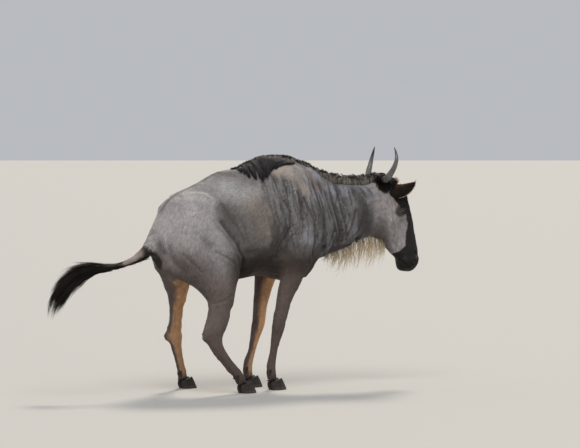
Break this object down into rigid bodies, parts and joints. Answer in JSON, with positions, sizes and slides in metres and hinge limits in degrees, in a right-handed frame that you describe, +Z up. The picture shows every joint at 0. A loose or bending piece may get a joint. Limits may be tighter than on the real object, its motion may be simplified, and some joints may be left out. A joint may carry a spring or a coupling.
{
  "type": "wildebeest",
  "caption": "Life-size still model of a white-bearded wildebeest cow standing in a crouch, hind legs wide and tail lifted.",
  "frame": {"origin": "middle of the part's box, on the ground under the soles", "axes": "+X along the body towards the head, +Y to the animal's left, +Z up"},
  "size_m": [2.256, 0.5366, 1.2692],
  "materials": {
    "coat": "short grey-brown coat, pale on the haunch, dark brindle on neck and shoulder",
    "ear_coat": "short dark fur behind, cream hair along the lower rim",
    "mane_hair": "long black hair with pale streaks at the roots",
    "beard_hair": "long straw-white hair",
    "tail_hair": "long coarse black hair",
    "horn": "dark grey horn, ridged near the base, smooth towards the tips",
    "hoof": "black hoof horn with fine growth rings",
    "eye": "wet, very dark brown"
  },
  "bodies": {
    "root": {"beard": "beard_hair", "ear_left": "ear_coat", "ear_right": "ear_coat", "eye_left": "eye", "eye_right": "eye", "foreleg_left_cannon": "coat", "foreleg_left_dewclaw_inner": "hoof", "foreleg_left_dewclaw_outer": "hoof", "foreleg_left_hoof_inner": "hoof", "foreleg_left_hoof_outer": "hoof", "foreleg_left_pastern": "coat", "foreleg_left_upper": "coat", "foreleg_right_cannon": "coat", "foreleg_right_dewclaw_inner": "hoof", "foreleg_right_dewclaw_outer": "hoof", "foreleg_right_hoof_inner": "hoof", "foreleg_right_hoof_outer": "hoof", "foreleg_right_pastern": "coat", "foreleg_right_upper": "coat", "head": "coat", "hindleg_left_cannon": "coat", "hindleg_left_dewclaw_inner": "hoof", "hindleg_left_dewclaw_outer": "hoof", "hindleg_left_hoof_inner": "hoof", "hindleg_left_hoof_outer": "hoof", "hindleg_left_pastern": "coat", "hindleg_left_upper": "coat", "hindleg_right_cannon": "coat", "hindleg_right_dewclaw_inner": "hoof", "hindleg_right_dewclaw_outer": "hoof", "hindleg_right_hoof_inner": "hoof", "hindleg_right_hoof_outer": "hoof", "hindleg_right_pastern": "coat", "hindleg_right_upper": "coat", "horn_left": "horn", "horn_right": "horn", "mane_neck": "mane_hair", "mane_withers": "mane_hair", "neck": "coat", "tail_brush": "tail_hair", "tail_dock": "coat", "trunk": "coat"}
  },
  "joints": []
}
